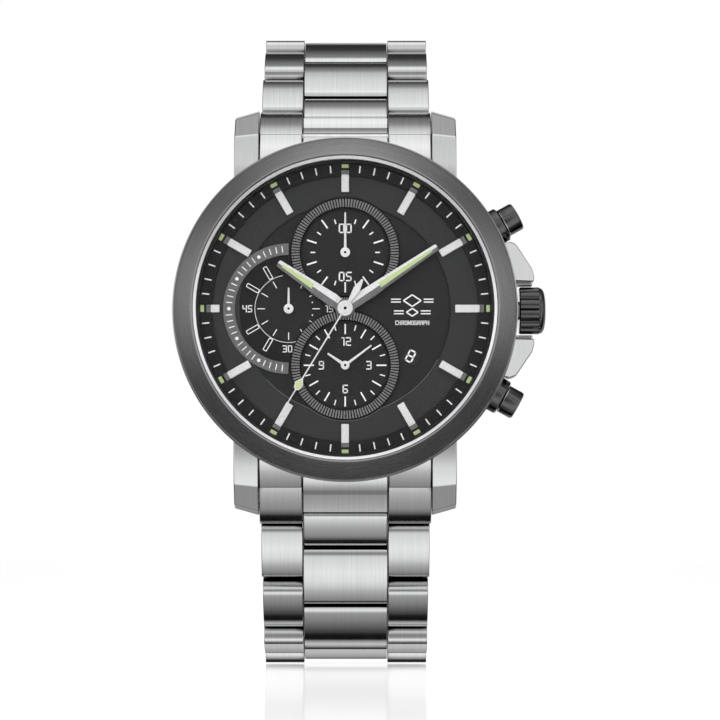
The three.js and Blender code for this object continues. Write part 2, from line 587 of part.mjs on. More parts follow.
// A push button: an oblong head through the cover's wall with a flange behind it.
function claspButton(side) {
  const head = side > 0 ? [9.4, 11.45] : [-11.45, -9.4];
  const flange = side > 0 ? [8.9, 9.6] : [-9.6, -8.9];
  return join([
    block([head[0], 38.2, -1.0], [head[1], 39.8, 4.0]),
    block([flange[0], 37.9, -1.6], [flange[1], 40.1, 4.6]),
  ]);
}

piece('clasp_blade_inner', innerBlade(), steel);
piece('clasp_blade_outer', outerBlade(), steel);
piece('clasp_cover', claspCover(), steel);
piece('clasp_button_left', claspButton(-1), steel);
piece('clasp_button_right', claspButton(1), steel);
piece('cover_hinge_pin', barAlongX(-10.8, 10.8, PIN_R, COVER_HINGE, TINY_ROUND), steel);
piece('blade_hinge_pin', barAlongX(-7.5, 7.5, PIN_R, FOLD_HINGE, TINY_ROUND), steel);
piece('clasp_spring_bar', barAlongX(-5.4, 5.4, PIN_R, upperEnd.toArray().slice(1), TINY_ROUND), steel);

export default watch;
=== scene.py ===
"""A chronograph wristwatch with a steel bracelet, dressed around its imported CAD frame.

Lengths in this script are millimetres; solids are scaled to metres when they are made.
+X is the crown's side, +Z is twelve o'clock and the dial faces -Y.
"""
import math

import bmesh
import bpy
from mathutils import Matrix, Vector


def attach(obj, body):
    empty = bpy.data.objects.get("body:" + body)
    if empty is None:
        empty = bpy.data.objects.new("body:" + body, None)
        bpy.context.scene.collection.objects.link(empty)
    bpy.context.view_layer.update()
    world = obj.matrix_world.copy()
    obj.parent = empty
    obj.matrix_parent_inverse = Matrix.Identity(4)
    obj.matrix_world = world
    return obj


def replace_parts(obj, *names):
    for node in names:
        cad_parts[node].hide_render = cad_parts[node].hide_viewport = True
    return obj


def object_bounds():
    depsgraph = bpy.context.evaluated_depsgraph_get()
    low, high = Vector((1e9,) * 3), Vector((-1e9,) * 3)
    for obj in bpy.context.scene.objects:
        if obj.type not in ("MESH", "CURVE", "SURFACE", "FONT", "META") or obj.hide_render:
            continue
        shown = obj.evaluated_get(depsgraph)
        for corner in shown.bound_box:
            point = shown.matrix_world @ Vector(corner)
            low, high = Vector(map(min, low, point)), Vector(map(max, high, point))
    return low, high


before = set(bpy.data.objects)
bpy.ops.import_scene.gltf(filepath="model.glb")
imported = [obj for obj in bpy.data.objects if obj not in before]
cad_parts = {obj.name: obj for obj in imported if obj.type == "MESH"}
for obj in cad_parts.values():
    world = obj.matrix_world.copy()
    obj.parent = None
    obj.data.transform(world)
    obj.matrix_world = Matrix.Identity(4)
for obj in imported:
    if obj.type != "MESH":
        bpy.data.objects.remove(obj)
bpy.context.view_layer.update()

# ---- head: sizes and places, as in the frame ------------------------------------------------
MM = 0.001
ROUND = 256  # segments of the head's large turned pieces
DIAL_FACE = -9.0
COUNTER_OFFSET = 7.25  # from the dial's middle to each counter's
STEP_R = 13.55  # the step between the dial's inner and outer fields
STEP_BULGE_R = 7.15  # where that step runs round the upper and lower counters
DATE_LEAN = 27.0
GUARD_DEPTH = -8.0  # front of the crown guards, 20 mm from the middle
GUARD_SLOPE = 0.36
STEM_DEPTH = -5.0
PUSHER_ANGLE = 29
LUG_IN = 11.2
LUG_OUT = 14.35
LUG_TIP = {"lower": -4.6, "upper": -3.4}  # depth at which a lug's bevelled tip ends

# ---- hands: clock angles in degrees ---------------------------------------------------------
HOUR_CLOCK = 304.2
MINUTE_CLOCK = 56.2
SECONDS_CLOCK = 211.2
SMALL_HOUR_CLOCK = 304
SMALL_MINUTE_CLOCK = 53

# ---- bracelet -------------------------------------------------------------------------------
DIRECTION = {"lower": -1, "upper": 1}
BAR_DEPTH = -2.33  # the lugs' spring bars, on which the first links turn
BAR_Z = 22.66
PITCH = 8.15
TILTS = {"lower": [38, 22, 46, 76, 111.091, 129.588, 148.086],
         "upper": [55, 47, 62, 90, 119.82, 143.792, 167.764]}
TOP_MIDDLE = 1.75  # outer face's height over the hinges, at a link's middle
BOTTOM = -1.6
CENTRE_HALF = 5.5
SIDE_IN = 5.6
SIDE_OUT = [11.17, 11.0, 10.85]  # half width at links 1, 2 and the rest
END_ROOT_Z = 18.4  # where the end link's tab meets the case
HOLLOW_START = {"lower": 123, "upper": 137}  # where the shoulder's hollow round the bar begins
CREASE = {"lower": (-3.05, 23.7, 0.27, 1.15),  # the tab's crease: depth, z, and the slopes before it
          "upper": (-1.4, 24.2, 0.58, 1.5)}


# ---- mesh building ------------------------------------------------------------------------
class Solids:
    """Closed solids gathered into one mesh."""

    def __init__(self):
        self.verts = []
        self.faces = []

    def skin(self, front, rear):
        """Joins two equal loops of points with side walls and two end faces."""
        count = len(front)
        base = len(self.verts)
        self.verts += front + rear
        self.faces.append(tuple(base + i for i in range(count)))
        self.faces.append(tuple(base + count + i for i in reversed(range(count))))
        for i in range(count):
            j = (i + 1) % count
            self.faces.append((base + i, base + count + i, base + count + j, base + j))
        return self

    def slab(self, outline, front, rear):
        """An outline of (x, z) points between two depths."""
        return self.skin([(x, front, z) for x, z in outline], [(x, rear, z) for x, z in outline])

    def prism(self, outline, left, right):
        """A side outline of (y, z) points between two x values."""
        return self.skin([(left, y, z) for y, z in outline], [(right, y, z) for y, z in outline])

    def bar(self, start, end, width, front, rear):
        """A flat bar on the dial from one (x, z) point to another."""
        along = Vector((end[0] - start[0], end[1] - start[1])).normalized()
        across = Vector((-along.y, along.x)) * width / 2
        a, b = Vector(start), Vector(end)
        corners = [a + across, a - across, b - across, b + across]
        return self.slab([tuple(corner) for corner in corners], front, rear)

    def frame(self, inner, outer, front, rear):
        """A flat ring between two equal loops of (x, z) points."""
        count = len(inner)
        base = len(self.verts)
        for loop, depth in ((inner, front), (outer, front), (outer, rear), (inner, rear)):
            self.verts += [(x, depth, z) for x, z in loop]
        for k in range(4):
            here, there = base + k * count, base + (k + 1) % 4 * count
            for i in range(count):
                j = (i + 1) % count
                self.faces.append((here + i, here + j, there + j, there + i))
        return self

    def turned(self, outline, segments=ROUND):
        """A closed outline of (radius, y) points turned about the dial's axis."""
        base = len(self.verts)
        count = len(outline)
        for i in range(segments):
            angle = 2 * math.pi * i / segments
            self.verts += [(r * math.sin(angle), y, r * math.cos(angle)) for r, y in outline]
        for i in range(segments):
            here, there = base + i * count, base + (i + 1) % segments * count
            for j in range(count):
                k = (j + 1) % count
                self.faces.append((here + j, there + j, there + k, here + k))
        return self


def build(name, solids, material, body, smooth_angle=35, place=None, bevel=0.0, segments=3):
    """Makes a named piece that rides on a body, optionally moved by a matrix and with bevelled edges."""
    mesh = bpy.data.meshes.new(name)
    mesh.from_pydata([tuple(c * MM for c in v) for v in solids.verts], [], solids.faces)
    work = bmesh.new()
    work.from_mesh(mesh)
    bmesh.ops.remove_doubles(work, verts=work.verts, dist=1e-7)
    bmesh.ops.dissolve_degenerate(work, edges=work.edges, dist=1e-8)
    bmesh.ops.recalc_face_normals(work, faces=work.faces)
    work.to_mesh(mesh)
    work.free()
    if place:
        mesh.transform(place)
    mesh.polygons.foreach_set("use_smooth", [True] * len(mesh.polygons))
    mesh.set_sharp_from_angle(angle=math.radians(smooth_angle))
    mesh.materials.append(material)
    obj = bpy.data.objects.new(name, mesh)
    bpy.context.scene.collection.objects.link(obj)
    if bevel:
        edge = obj.modifiers.new("bevel", "BEVEL")
        edge.width = bevel * MM
        edge.segments = segments
        edge.limit_method = "ANGLE"
        edge.angle_limit = math.radians(smooth_angle)
        edge.harden_normals = True
    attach(obj, body)
    return obj


def move(x=0.0, y=0.0, z=0.0):
    return Matrix.Translation(Vector((x, y, z)) * MM)


def turn(degrees, axis):
    return Matrix.Rotation(math.radians(degrees), 4, axis)


def on_dial(radius, clock, centre=(0.0, 0.0)):
    """The (x, z) point at a radius and a clock angle, in degrees clockwise from twelve."""
    angle = math.radians(clock)
    return (centre[0] + radius * math.sin(angle), centre[1] + radius * math.cos(angle))


def arc(centre, radius, start, end, steps):
    """Points on an arc, angles in degrees from the first axis."""
    angles = [math.radians(start + (end - start) * i / steps) for i in range(steps + 1)]
    return [(centre[0] + radius * math.cos(a), centre[1] + radius * math.sin(a)) for a in angles]


# ---- materials ----------------------------------------------------------------------------
class Nodes:
    """A material's node tree with short ways to add nodes to it."""

    def __init__(self, name):
        self.material = bpy.data.materials.new(name)
        self.material.use_nodes = True
        self.tree = self.material.node_tree
        self.shader = self.tree.nodes["Principled BSDF"]

    def add(self, kind, **inputs):
        node = self.tree.nodes.new(kind)
        for key, value in inputs.items():
            node.inputs[key.replace("_", " ")].default_value = value
        return node

    def link(self, source, target):
        self.tree.links.new(source, target)

    def position(self):
        return self.add("ShaderNodeTexCoord").outputs["Object"]

    def scaled(self, vector, scale):
        mapping = self.add("ShaderNodeMapping")
        mapping.inputs["Scale"].default_value = scale
        self.link(vector, mapping.inputs["Vector"])
        return mapping.outputs["Vector"]

    def noise(self, vector, scale=1.0, detail=3.0):
        noise = self.add("ShaderNodeTexNoise", Scale=scale, Detail=detail)
        self.link(vector, noise.inputs["Vector"])
        return noise.outputs["Fac"]

    def span(self, value, low, high):
        """Maps a 0 to 1 value onto low to high."""
        spread = self.add("ShaderNodeMapRange")
        spread.inputs["From Min"].default_value = 0.25
        spread.inputs["From Max"].default_value = 0.75
        spread.inputs["To Min"].default_value = low
        spread.inputs["To Max"].default_value = high
        self.link(value, spread.inputs["Value"])
        return spread.outputs["Result"]

    def bump(self, height, strength, distance_mm):
        bump = self.add("ShaderNodeBump")
        bump.inputs["Strength"].default_value = strength
        bump.inputs["Distance"].default_value = distance_mm * MM
        self.link(height, bump.inputs["Height"])
        self.link(bump.outputs["Normal"], self.shader.inputs["Normal"])

    def tint(self, value, dark, light):
        """Colours the surface between two colours by a 0 to 1 value."""
        ramp = self.add("ShaderNodeValToRGB")
        ramp.color_ramp.elements[0].position = 0.3
        ramp.color_ramp.elements[0].color = (*dark, 1)
        ramp.color_ramp.elements[1].position = 0.7
        ramp.color_ramp.elements[1].color = (*light, 1)
        self.link(value, ramp.inputs["Fac"])
        self.link(ramp.outputs["Color"], self.shader.inputs["Base Color"])

    def paint_joint_shade(self, reach_mm):
        """Darkens the colour where other surfaces crowd within reach: painted shade in the joints and crevices,
        where shadow falls.
        """
        crowd = self.add("ShaderNodeAmbientOcclusion", Distance=reach_mm * MM)
        openness = self.add("ShaderNodeMapRange")
        openness.inputs["From Min"].default_value = 0.3
        openness.inputs["From Max"].default_value = 0.62
        openness.inputs["To Min"].default_value = 0.02
        self.link(crowd.outputs["AO"], openness.inputs["Value"])
        mix = self.add("ShaderNodeMix")
        mix.data_type = "RGBA"
        mix.blend_type = "MULTIPLY"
        mix.inputs["Factor"].default_value = 1.0
        colour = self.shader.inputs["Base Color"].links[0].from_socket
        self.link(colour, mix.inputs[6])
        self.link(openness.outputs["Result"], mix.inputs[7])
        self.link(mix.outputs[2], self.shader.inputs["Base Color"])

    def surface(self, metallic=1.0, roughness=0.3):
        self.shader.inputs["Metallic"].default_value = metallic
        self.shader.inputs["Roughness"].default_value = roughness


def brushed(name, dark, light, rough, scale, strength=0.25, depth_mm=0.01):
    """Metal brushed along the direction in which scale is small, with painted shade darkening its joints."""
    nodes = Nodes(name)
    nodes.surface()
    place = nodes.position()
    lines = nodes.noise(nodes.scaled(place, scale), detail=6.0)
    nodes.tint(lines, dark, light)
    # Painted shade: the colour is multiplied down in joints and crevices.
    nodes.paint_joint_shade(1.3)
    patches = nodes.noise(place, scale=260.0)
    blend = nodes.add("ShaderNodeMath")
    blend.operation = "MULTIPLY_ADD"
    blend.inputs[1].default_value = 0.5
    nodes.link(lines, blend.inputs[0])
    half = nodes.add("ShaderNodeMath")
    half.operation = "MULTIPLY"
    half.inputs[1].default_value = 0.5
    nodes.link(patches, half.inputs[0])
    nodes.link(half.outputs["Value"], blend.inputs[2])
    nodes.link(nodes.span(blend.outputs["Value"], *rough), nodes.shader.inputs["Roughness"])
    nodes.bump(lines, strength, depth_mm)
    return nodes.material


def circular(name, dark, light, rough, strength=0.25, metallic=1.0):
    """Metal brushed in circles about the dial's axis."""
    nodes = Nodes(name)
    nodes.surface(metallic=metallic)
    split = nodes.add("ShaderNodeSeparateXYZ")
    nodes.link(nodes.position(), split.inputs["Vector"])
    flat = nodes.add("ShaderNodeCombineXYZ")
    nodes.link(split.outputs["X"], flat.inputs["X"])
    nodes.link(split.outputs["Z"], flat.inputs["Y"])
    length = nodes.add("ShaderNodeVectorMath")
    length.operation = "LENGTH"
    nodes.link(flat.outputs["Vector"], length.inputs[0])
    around = nodes.add("ShaderNodeMath")
    around.operation = "ARCTAN2"
    nodes.link(split.outputs["X"], around.inputs[0])
    nodes.link(split.outputs["Z"], around.inputs[1])
    polar = nodes.add("ShaderNodeCombineXYZ")
    nodes.link(length.outputs["Value"], polar.inputs["X"])
    nodes.link(around.outputs["Value"], polar.inputs["Y"])
    nodes.link(split.outputs["Y"], polar.inputs["Z"])
    lines = nodes.noise(nodes.scaled(polar.outputs["Vector"], (16000, 3, 16000)), detail=5.0)
    nodes.tint(lines, dark, light)
    nodes.link(nodes.span(lines, *rough), nodes.shader.inputs["Roughness"])
    nodes.bump(lines, strength, 0.01)
    return nodes.material


def grained(name, dark, light, rough, scale=9000.0, metallic=0.0, strength=0.2):
    """A coating, print or plastic with a fine grain."""
    nodes = Nodes(name)
    nodes.surface(metallic=metallic)
    grain = nodes.noise(nodes.position(), scale=scale, detail=3.0)
    nodes.tint(grain, dark, light)
    nodes.link(nodes.span(grain, *rough), nodes.shader.inputs["Roughness"])
    nodes.bump(grain, strength, 0.006)
    return nodes.material


def clear_crystal():
    """Coated mineral glass: almost all of what is behind it shows."""
    nodes = Nodes("crystal")
    nodes.surface(metallic=0.0, roughness=0.03)
    haze = nodes.noise(nodes.position(), scale=90.0)
    nodes.tint(haze, (0.01, 0.01, 0.012), (0.02, 0.02, 0.024))
    nodes.shader.inputs["Alpha"].default_value = 0.05
    return nodes.material


LINK_BRUSH = (13000, 140, 140)
STEEL = brushed("brushed_steel", (0.54, 0.543, 0.546), (0.62, 0.623, 0.626),
                (0.09, 0.15), LINK_BRUSH, 0.16)
LUG_STEEL = brushed("lug_steel", (0.56, 0.563, 0.566), (0.64, 0.643, 0.646),
                    (0.10, 0.17), LINK_BRUSH, 0.16)
POLISHED = brushed("polished_steel", (0.60, 0.60, 0.61), (0.68, 0.68, 0.69),
                   (0.10, 0.18), (900, 900, 900), 0.08)
CASE_STEEL = circular("case_steel", (0.40, 0.403, 0.406), (0.52, 0.523, 0.526), (0.18, 0.30))
BLACK_BEZEL = circular("black_bezel", (0.22, 0.22, 0.222), (0.30, 0.30, 0.303),
                       (0.20, 0.30), 0.2, metallic=0.88)
BLACK_METAL = grained("black_metal", (0.085, 0.085, 0.087), (0.11, 0.11, 0.113),
                      (0.10, 0.18), 4000.0, 1.0, 0.08)
BLACK_RING = grained("black_ring", (0.004, 0.004, 0.0045), (0.008, 0.008, 0.0085),
                     (0.4, 0.55), 9000.0, 0.3, 0.1)
DIAL = grained("dial_coat", (0.019, 0.0192, 0.0195), (0.026, 0.0263, 0.027),
               (0.45, 0.6), 15000.0, 0.5, 0.12)
DIAL_OUTER = grained("dial_outer_coat", (0.034, 0.0345, 0.035), (0.045, 0.0455, 0.046),
                     (0.4, 0.55), 15000.0, 0.5, 0.12)
COUNTER = circular("counter_floor", (0.014, 0.0143, 0.0145), (0.021, 0.0213, 0.0216),
                   (0.4, 0.55), 0.15, metallic=0.4)
COIN = grained("coin_edge", (0.38, 0.383, 0.386), (0.48, 0.483, 0.486), (0.25, 0.4), 6000.0, 1.0)
SILVER = grained("silver_ring", (0.20, 0.203, 0.206), (0.27, 0.273, 0.276), (0.3, 0.42), 6000.0, 0.8)
WHITE = grained("white_print", (0.80, 0.80, 0.80), (0.90, 0.90, 0.90), (0.45, 0.6), 12000.0)
LUME = grained("luminous_fill", (0.42, 0.52, 0.24), (0.52, 0.62, 0.31), (0.6, 0.8), 9000.0, 0.0, 0.5)
# Lit and shaded copies of one polished hand metal: painted light on the bright copy, painted shade on the dark
# copy.
HAND_PAINTED_LIT = grained("hand_painted_lit", (0.66, 0.66, 0.67), (0.76, 0.76, 0.77),
                     (0.25, 0.4), 3000.0, 0.15, 0.05)
HAND_PAINTED_SHADE = grained("hand_painted_shade", (0.14, 0.14, 0.143), (0.19, 0.19, 0.193),
                    (0.3, 0.45), 3000.0, 0.3, 0.05)
SEAT_RING = grained("seat_ring", (0.88, 0.88, 0.90), (0.94, 0.94, 0.96),
                    (0.08, 0.14), 3000.0, 0.55, 0.05)
NYLON = grained("gasket_nylon", (0.72, 0.72, 0.74), (0.84, 0.84, 0.86), (0.25, 0.4), 3000.0)
SEAL = grained("seal_rubber", (0.012, 0.012, 0.012), (0.022, 0.022, 0.022), (0.6, 0.8), 3000.0)
BRASS = brushed("movement_brass", (0.45, 0.32, 0.14), (0.60, 0.44, 0.20), (0.25, 0.4), (4000, 4000, 120))
COPPER = brushed("coil_copper", (0.40, 0.16, 0.07), (0.55, 0.26, 0.12), (0.25, 0.4), (9000, 120, 120))
DATE_BLACK = grained("date_black", (0.008, 0.008, 0.008), (0.014, 0.014, 0.014), (0.4, 0.6), 5000.0)
CRYSTAL = clear_crystal()


# ---- stage, light and camera --------------------------------------------------------------
def make_camera():
    """The camera looks slightly up at the watch from just above the floor."""
    data = bpy.data.cameras.new("camera")
    data.lens = 176.9
    data.sensor_width = 36.0
    data.clip_start = 0.01
    camera = bpy.data.objects.new("camera", data)
    camera.location = Vector((1.9, -461.7, -30.3)) * MM
    camera.rotation_euler = (math.radians(93.0), 0.0, 0.0)
    bpy.context.scene.collection.objects.link(camera)
    bpy.context.scene.camera = camera


def make_world():
    """A light tent whose upper and lower halves differ, dark where brushed steel should show black bands."""
    world = bpy.data.worlds.new("studio")
    world.use_nodes = True
    tree = world.node_tree
    direction = tree.nodes.new("ShaderNodeTexCoord")
    split = tree.nodes.new("ShaderNodeSeparateXYZ")
    tree.links.new(direction.outputs["Generated"], split.inputs["Vector"])
    x, y, z = (split.outputs[axis] for axis in "XYZ")

    def maths(operation, *values):
        node = tree.nodes.new("ShaderNodeMath")
        node.operation = operation
        for socket, value in zip(node.inputs, values):
            if isinstance(value, float):
                socket.default_value = value
            else:
                tree.links.new(value, socket)
        return node.outputs["Value"]

    def ramp(stops):
        """Brightness by the angle from straight ahead of the dial, in degrees."""
        node = tree.nodes.new("ShaderNodeValToRGB")
        band = node.color_ramp
        for element, (_, level) in zip(band.elements, (stops[0], stops[-1])):
            element.color = (level, level, level, 1)
        for angle, level in stops[1:-1]:
            band.elements.new((1 - math.cos(math.radians(angle))) / 2).color = (level, level, level, 1)
        tree.links.new(maths("MULTIPLY_ADD", y, 0.5, 0.5), node.inputs["Fac"])
        return node.outputs["Color"]

    below = ramp([(0, 0.35), (12, 0.5), (25, 1.1), (40, 1.35), (50, 1.1), (60, 0.8), (70, 0.58), (80, 0.4),
                  (90, 0.18), (96, 0.02), (112, 0.0), (116, 0.45), (126, 0.85), (140, 0.75), (160, 0.35),
                  (180, 0.3)])
    above = ramp([(0, 0.35), (12, 0.5), (25, 1.0), (42, 0.9), (58, 1.3), (72, 1.5), (86, 1.25), (98, 1.1),
                  (104, 0.8), (110, 0.42), (118, 0.26), (127, 0.06), (140, 0.02), (149, 0.3), (160, 0.7),
                  (180, 1.0)])
    across = maths("MULTIPLY", x, x)
    upward = maths("MULTIPLY", z, z)
    total = maths("ADD", maths("ADD", across, upward), 0.02)
    share = maths("MULTIPLY_ADD", maths("DIVIDE", z, maths("SQRT", total)), 1.2, 0.5)
    share = maths("MINIMUM", maths("MAXIMUM", share, 0.0), 1.0)
    base = maths("ADD", maths("MULTIPLY", above, share),
                 maths("MULTIPLY", below, maths("SUBTRACT", 1.0, share)))
    diagonal = maths("DIVIDE", maths("SUBTRACT", across, upward), total)
    cross = maths("MULTIPLY_ADD", maths("MULTIPLY", diagonal, diagonal), 0.75, 0.25)
    sideways = maths("LESS_THAN", maths("ABSOLUTE", y), 0.5)
    cross = maths("MAXIMUM", cross, maths("SUBTRACT", 1.0, sideways))
    strength = maths("MULTIPLY", base, cross)
    seen = tree.nodes.new("ShaderNodeLightPath")
    shown = maths("MAXIMUM", strength, seen.outputs["Is Camera Ray"])
    shown = maths("MAXIMUM", shown, maths("MULTIPLY", seen.outputs["Is Diffuse Ray"], 0.55))
    tree.links.new(shown, tree.nodes["Background"].inputs["Strength"])
    tree.nodes["Background"].inputs["Color"].default_value = (1.0, 1.0, 1.0, 1.0)
    bpy.context.scene.world = world
    bpy.context.scene.view_settings.view_transform = "Standard"


def soft_box(name, place, size, power, target=(0.0, -5.0, 0.0)):
    """A rectangular area light that faces a point of the watch and is not mirrored in it."""
    data = bpy.data.lights.new(name, "AREA")
    data.shape = "RECTANGLE"
    data.size, data.size_y = (s * MM for s in size)
    data.energy = power
    light = bpy.data.objects.new(name, data)
    light.location = Vector(place) * MM
    light.rotation_euler = (Vector(target) - Vector(place)).to_track_quat("-Z", "Y").to_euler()
    light.visible_glossy = False
    bpy.context.scene.collection.objects.link(light)


def make_floor():
    """A pale, slightly glossy table under the lowest link."""
    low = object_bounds()[0][2]
    half = 6.0
    mesh = bpy.data.meshes.new("floor")
    corners = [(-half, -half, low), (half, -half, low), (half, half, low), (-half, half, low)]
    mesh.from_pydata(corners, [], [(0, 1, 2, 3)])
    nodes = Nodes("floor_paint")
    nodes.surface(metallic=0.0, roughness=0.10)
    grain = nodes.noise(nodes.position(), scale=40.0)
    nodes.tint(grain, (0.86, 0.86, 0.86), (0.88, 0.88, 0.88))
    nodes.shader.inputs["Emission Color"].default_value = (1.0, 1.0, 1.0, 1.0)
    nodes.shader.inputs["Emission Strength"].default_value = 0.27
    mesh.materials.append(nodes.material)
    floor = bpy.data.objects.new("floor", mesh)
    bpy.context.scene.collection.objects.link(floor)
    floor.visible_glossy = False


# ---- case ---------------------------------------------------------------------------------
def lug_outline(slant, tip_depth):
    """A lug's side outline, its tip moved outwards by slant."""
    front = []
    for z in (14.0, 16.0, 18.0, 19.5, 20.8, 21.8, 22.6):
        front.append((-8.1 + 1.35 * ((z - 14.0) / 8.6) ** 2.3, z))
    front[-1] = (front[-1][0], front[-1][1] + slant * 0.35)
    tip = [(tip_depth, 25.5 + slant), (-1.6, 25.95 + slant), (-0.6, 24.8 + slant)]
    return front + tip + [(-0.5, 20.6), (-1.35, 17.6), (-1.35, 14.0)]


def make_case():
    """The turned case ring, four lugs with bevelled tips and the stepped guards beside the crown."""
    case = build("case_ring", Solids().turned([
        (17.1, -8.4), (19.1, -8.4), (19.1, -8.78), (22.05, -8.78), (22.2, -8.65), (22.2, -8.1), (21.7, -7.7),
        (21.6, -7.2), (21.6, -3.0), (21.3, -2.3), (20.4, -1.4), (19.0, -1.35), (17.1, -1.35),
    ]), CASE_STEEL, "head")
    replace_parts(case, "case_middle")
    for half, dir_z in DIRECTION.items():
        for side, sign in (("left", -1), ("right", 1)):
            inner = [(sign * LUG_IN, y, dir_z * z) for y, z in lug_outline(0.45, LUG_TIP[half])]
            outer = [(sign * LUG_OUT, y, dir_z * z) for y, z in lug_outline(-0.45, LUG_TIP[half])]
            lug = Solids().skin(inner, outer)
            build(f"lug_{half}_{side}", lug, LUG_STEEL, "head", 18, bevel=0.14)
        outline = [(18.5, 3.75), (24.35, 3.7), (24.4, 4.3), (24.1, 5.4), (22.0, 8.5), (21.2, 8.8),
                   (18.0, 7.9)]
        front = [(x, GUARD_DEPTH + (x - 20.0) * GUARD_SLOPE, dir_z * z) for x, z in outline]
        rear = [(x, -2.7, dir_z * z) for x, z in outline]
        guard = Solids().skin(front, rear)
        step = [(21.3, 3.2), (24.2, 3.2), (24.2, 3.9), (21.3, 3.9)]
        guard.slab([(x, dir_z * z) for x, z in step], -5.6, -3.0)
        build(f"crown_guard_{half}", guard, LUG_STEEL, "head", 20, bevel=0.2, segments=4)


def make_bezel():
    """The black bezel cone, the bright ring inside it and the crystal."""
    profile = [(19.1, -8.85), (21.9, -8.85), (22.0, -8.95), (22.0, -9.35), (21.93, -9.5), (21.8, -9.65),
               (19.85, -12.15), (19.72, -12.27), (19.58, -12.3), (19.47, -12.2), (19.45, -10.72), (19.1, -10.72)]
    bezel = build("bezel_cone", Solids().turned(profile), BLACK_BEZEL, "head", 30)
    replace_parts(bezel, "bezel")
    seat = Solids().turned([(19.06, -10.75), (19.06, -11.66), (19.09, -11.69), (19.4, -11.99),
                            (19.42, -11.99), (19.42, -10.75)])
    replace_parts(build("crystal_seat", seat, SEAT_RING, "head"), "crystal_gasket")
    glass = Solids().turned([(0.0, -12.1), (18.7, -12.1), (18.9, -12.0), (19.0, -11.8), (19.0, -10.78),
                             (0.0, -10.78)])
    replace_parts(build("crystal_glass", glass, CRYSTAL, "head"), "crystal")


def make_case_back():
    """A turned cover with a stepped rim, a flat middle and six wrench notches."""
    back = Solids().turned([
        (0.0, 0.0), (11.9, 0.0), (12.0, -0.06), (12.4, -0.06), (12.5, 0.0), (17.3, 0.0), (17.6, -0.08),
        (18.3, -0.5), (18.4, -0.7), (18.4, -1.15), (16.9, -1.15), (16.9, -2.3), (16.2, -2.3), (16.2, -1.15),
        (0.0, -1.15)])
    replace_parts(build("case_back_cover", back, CASE_STEEL, "head", 25), "caseback")
    notches = Solids()
    for i in range(6):
        outer = on_dial(16.6, 60 * i)
        inner = on_dial(15.0, 60 * i)
        notches.bar(inner, outer, 2.0, -0.1, 0.03)
    build("case_back_notches", notches, BLACK_METAL, "head", bevel=0.02)


# ---- dial ---------------------------------------------------------------------------------
STROKES = {
    "0": [[(0, 0), (1, 0), (1, 2), (0, 2), (0, 0)]],
    "1": [[(1, 0), (1, 2), (0.55, 2)]],
    "2": [[(0, 2), (1, 2), (1, 1), (0, 1), (0, 0), (1, 0)]],
    "3": [[(0, 2), (1, 2), (1, 0), (0, 0)], [(0.2, 1), (1, 1)]],
    "4": [[(0, 2), (0, 1), (1, 1)], [(1, 2), (1, 0)]],
    "5": [[(1, 2), (0, 2), (0, 1), (1, 1), (1, 0), (0, 0)]],
    "6": [[(1, 2), (0, 2), (0, 0), (1, 0), (1, 1), (0, 1)]],
    "8": [[(0, 0), (1, 0), (1, 2), (0, 2), (0, 0)], [(0, 1), (1, 1)]],
    "9": [[(0, 0), (1, 0), (1, 2), (0, 2), (0, 1), (1, 1)]],
    "A": [[(0, 0), (0, 2), (1, 2), (1, 0)], [(0, 1), (1, 1)]],
    "C": [[(1, 2), (0, 2), (0, 0), (1, 0)]],
    "G": [[(1, 2), (0, 2), (0, 0), (1, 0), (1, 1), (0.5, 1)]],
    "H": [[(0, 0), (0, 2)], [(1, 0), (1, 2)], [(0, 1), (1, 1)]],
    "N": [[(0, 0), (0, 2), (1, 0), (1, 2)]],
    "O": [[(0, 0), (1, 0), (1, 2), (0, 2), (0, 0)]],
    "P": [[(0, 0), (0, 2), (1, 2), (1, 1), (0, 1)]],
    "R": [[(0, 0), (0, 2), (1, 2), (1, 1), (0, 1)], [(0.4, 1), (1, 0)]],
}
PRINT_FRONT = DIAL_FACE - 0.045
PRINT_REAR = DIAL_FACE + 0.02


def print_text(solids, text, centre, height, stroke, turned_by=0.0):
    """Square-cut characters, drawn as bars, centred on a point."""
    width = height * 0.55
    gap = height * 0.32
    total = width * len(text) + gap * (len(text) - 1)
    angle = math.radians(turned_by)
    for place, character in enumerate(text):
        left = place * (width + gap) - total / 2
        for line in STROKES[character]:
            points = []
            for u, v in line:
                x, z = left + u * width, (v / 2 - 0.5) * height
                points.append((centre[0] + x * math.cos(angle) + z * math.sin(angle),
                               centre[1] - x * math.sin(angle) + z * math.cos(angle)))
            for a, b in zip(points, points[1:]):
                along = (Vector(b) - Vector(a)).normalized() * stroke / 2
                solids.bar(tuple(Vector(a) - along), tuple(Vector(b) + along), stroke,
                           PRINT_FRONT, PRINT_REAR)


def tick(solids, centre, clock, inner, outer, width, front=PRINT_FRONT, rear=PRINT_REAR):
    solids.bar(on_dial(inner, clock, centre), on_dial(outer, clock, centre), width, front, rear)


def counter_reach(clock):
    """How far out the upper counter's round edge reaches in the direction of a clock angle."""
    angle = math.radians(clock)
    side = COUNTER_OFFSET * math.sin(angle)
    if abs(side) > STEP_BULGE_R:
        return 0.0
    return COUNTER_OFFSET * math.cos(angle) + math.sqrt(STEP_BULGE_R ** 2 - side ** 2)


